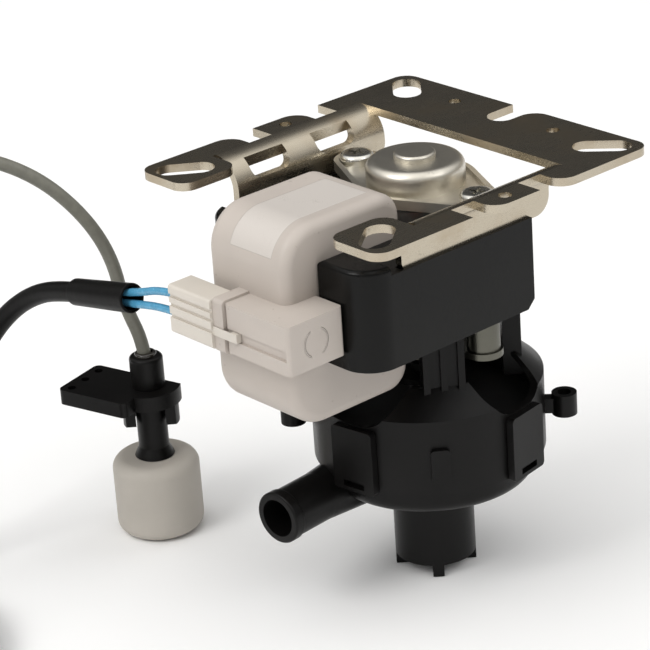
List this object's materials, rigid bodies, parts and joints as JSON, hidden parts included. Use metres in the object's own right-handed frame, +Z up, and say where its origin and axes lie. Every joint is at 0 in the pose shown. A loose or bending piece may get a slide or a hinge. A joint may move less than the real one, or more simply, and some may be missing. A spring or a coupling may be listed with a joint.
{
  "type": "condensate pump",
  "caption": "Condensate pump: a shaded-pole motor in a folded steel bracket over a centrifugal pump with a side outlet and bottom inlet, with a float switch on its own cable",
  "frame": {"origin": "on the rotor axis, in the mounting bracket's top face, midway between its two pairs of slots across Y", "axes": "+Z up, out of the bracket's top face along the rotor axis; +X from the coil to the bracket's back rail; +Y to the side where the plug and its lead leave the coil"},
  "size_m": [0.2054, 0.1349, 0.1086],
  "materials": {
    "bracket_steel": "satin",
    "dome_steel": "satin",
    "laminations": "satin",
    "copper": "satin",
    "shaft_steel": "polished",
    "screw_steel": "satin",
    "bearing_bronze": "satin",
    "cast_alloy": "matte",
    "rotor_alloy": "satin",
    "coil_plastic": "matte",
    "plug_plastic": "matte",
    "bobbin_plastic": "matte",
    "black_plastic": "satin",
    "sleeve_plastic": "satin",
    "float_plastic": "matte",
    "white_washer": "matte",
    "felt": "matte",
    "rubber": "matte",
    "magnet": "matte",
    "glass": "glossy",
    "resin": "glossy",
    "cable_jacket": "matte",
    "wire_blue": "glossy",
    "lead_jacket": "matte",
    "impeller_plastic": "matte"
  },
  "bodies": {
    "root": {"mounting_bracket": "bracket_steel", "stator_core": "laminations", "coil_core_bar": "laminations", "shading_rings": "copper", "coil_bobbin": "bobbin_plastic", "coil_winding": "copper", "coil_cover": "coil_plastic", "plug_housing": "plug_plastic", "plug_contacts": "screw_steel", "front_limb_sleeve": "sleeve_plastic", "rear_limb_sleeve": "sleeve_plastic", "upper_bearing_bracket": "dome_steel", "lower_bearing_bracket": "cast_alloy", "upper_bearing": "bearing_bronze", "lower_bearing": "bearing_bronze", "oil_felts": "felt", "bearing_retainer": "screw_steel", "motor_screws": "screw_steel", "pump_upper_housing": "black_plastic", "volute_housing": "black_plastic", "housing_seal": "rubber", "float_bracket": "black_plastic", "float_stem": "black_plastic", "float_clip": "white_washer", "reed_switch": "glass", "cable_potting": "resin", "float_cable": "cable_jacket", "float_cable_coil": "cable_jacket", "float_connector": "plug_plastic", "blue_wire_upper": "wire_blue", "blue_wire_lower": "wire_blue", "lead_sleeve": "lead_jacket", "pump_lead": "lead_jacket", "pump_lead_coil": "lead_jacket", "lead_connector": "plug_plastic"},
    "rotor": {"rotor_core": "laminations", "rotor_cage": "rotor_alloy", "motor_shaft": "shaft_steel", "thrust_washers": "white_washer", "shaft_slinger": "rubber", "impeller": "impeller_plastic"},
    "float": {"float_body": "float_plastic", "float_magnet": "magnet"}
  },
  "joints": [
    {"name": "rotor_spin", "type": "hinge", "parent": "root", "child": "rotor", "pos_m": [0, 0, -0.03], "axis": [0, 0, 1], "continuous": true},
    {"name": "float_slide", "type": "slide", "parent": "root", "child": "float", "axis": [0, 0, 1], "range_m": [-0.007, 0]}
  ]
}
